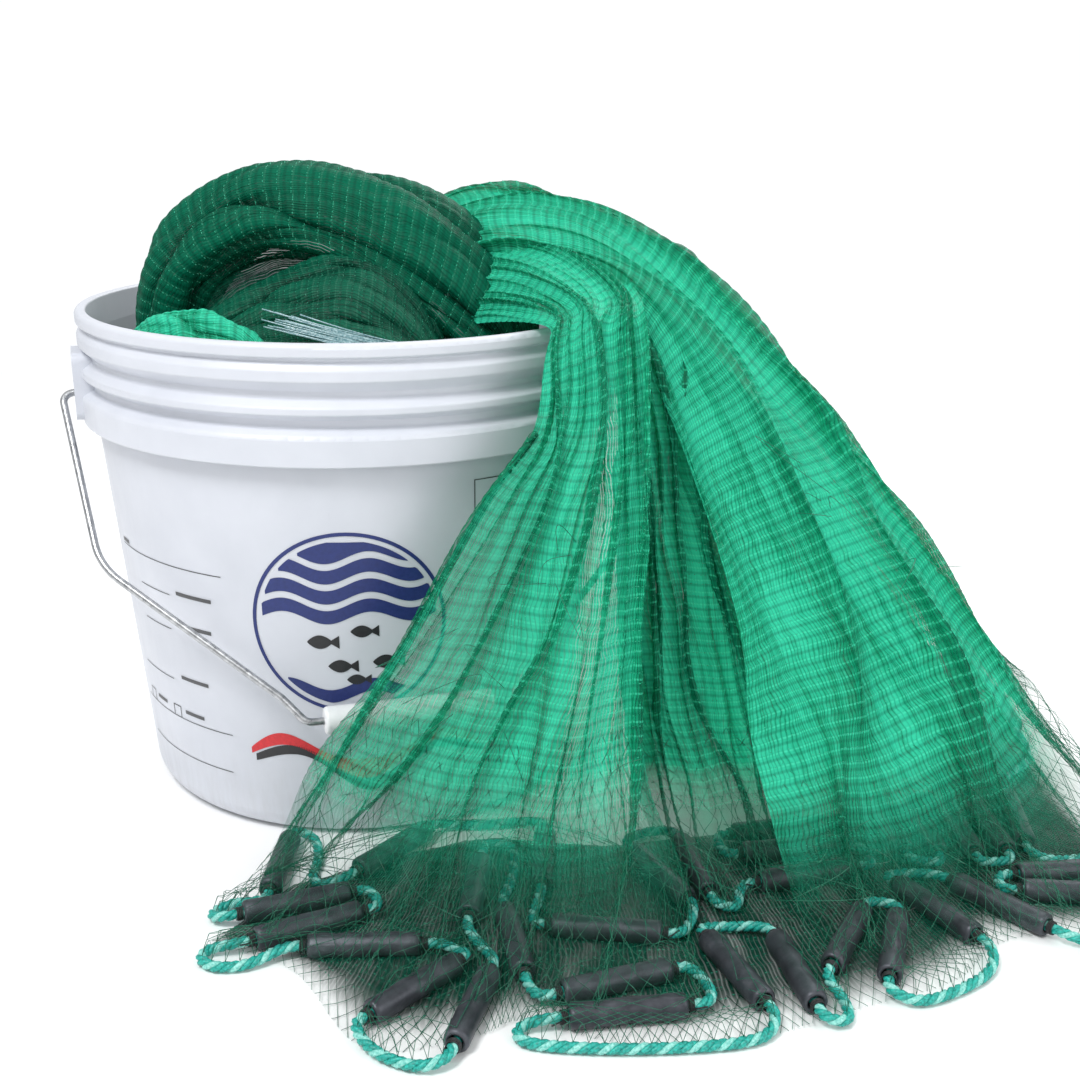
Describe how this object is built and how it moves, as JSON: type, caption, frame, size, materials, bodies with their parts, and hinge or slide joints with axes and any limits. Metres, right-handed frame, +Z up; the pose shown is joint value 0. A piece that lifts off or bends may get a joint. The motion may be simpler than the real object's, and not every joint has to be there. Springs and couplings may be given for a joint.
{
  "type": "cast net",
  "caption": "Leaded cast net stowed in a lidless pail, the netting drawn over the rim and its weighted hem gathered in folds on the floor.",
  "frame": {"origin": "centre of the pail's foot, on the floor", "axes": "+Z up along the pail's axis, +X towards the side that the netting spills to, -Y the printed front"},
  "size_m": [0.5921, 0.4877, 0.3615],
  "materials": {
    "lead": "dull dark grey lead, lightly scuffed",
    "netting": "emerald green nylon monofilament netting, finely knotted, semi-gloss",
    "pail": "white moulded plastic, satin, with a printed front",
    "bail_wire": "galvanised steel wire",
    "grip": "white moulded roller",
    "rope": "twisted teal and white rope",
    "horn": "off-white moulded ring",
    "twine": "black waxed twine",
    "swivel": "worn brass",
    "brails": "bundle of translucent blue-green monofilament lines"
  },
  "bodies": {
    "pail_and_net": {"brail_lines": "brails", "horn": "horn", "horn_lashing": "twine", "lead_01": "lead", "lead_02": "lead", "lead_03": "lead", "lead_04": "lead", "lead_05": "lead", "lead_06": "lead", "lead_07": "lead", "lead_08": "lead", "lead_09": "lead", "lead_10": "lead", "lead_11": "lead", "lead_12": "lead", "lead_13": "lead", "lead_14": "lead", "lead_15": "lead", "lead_16": "lead", "lead_17": "lead", "lead_18": "lead", "lead_19": "lead", "lead_20": "lead", "lead_21": "lead", "lead_22": "lead", "lead_23": "lead", "lead_24": "lead", "lead_25": "lead", "lead_26": "lead", "lead_27": "lead", "lead_28": "lead", "lead_29": "lead", "lead_30": "lead", "lead_31": "lead", "lead_32": "lead", "lead_33": "lead", "lead_34": "lead", "lead_35": "lead", "lead_36": "lead", "lead_37": "lead", "lead_38": "lead", "lead_39": "lead", "lead_40": "lead", "lead_line": "rope", "net_crown": "netting", "net_front_fall": "netting", "net_heap": "netting", "net_hem_back": "netting", "net_hem_front": "netting", "net_hem_right": "netting", "net_inner_fold": "netting", "net_left_flap": "netting", "net_right_fall": "netting", "net_rim_tuft": "netting", "pail": "pail", "swivel_barrel": "swivel"},
    "bail": {"bail_wire": "bail_wire"},
    "grip": {"bail_grip": "grip"},
    "line_eye": {"swivel_line_eye": "swivel"},
    "brail_eye": {"swivel_brail_eye": "swivel"}
  },
  "joints": [
    {"name": "bail_hinge", "type": "hinge", "parent": "pail_and_net", "child": "bail", "pos_m": [0, 0, 0.232], "axis": [-0.9563, -0.2924, 0], "range_deg": [0, 8]},
    {"name": "grip_spin", "type": "hinge", "parent": "bail", "child": "grip", "pos_m": [0.04186, -0.13692, 0.08112], "axis": [0.9563, 0.2924, 0], "continuous": true},
    {"name": "line_eye_spin", "type": "hinge", "parent": "pail_and_net", "child": "line_eye", "pos_m": [-0.062, 0.072, 0.2295], "axis": [1, 0, 0], "continuous": true},
    {"name": "brail_eye_spin", "type": "hinge", "parent": "pail_and_net", "child": "brail_eye", "pos_m": [-0.04, 0.072, 0.2295], "axis": [1, 0, 0], "continuous": true}
  ]
}
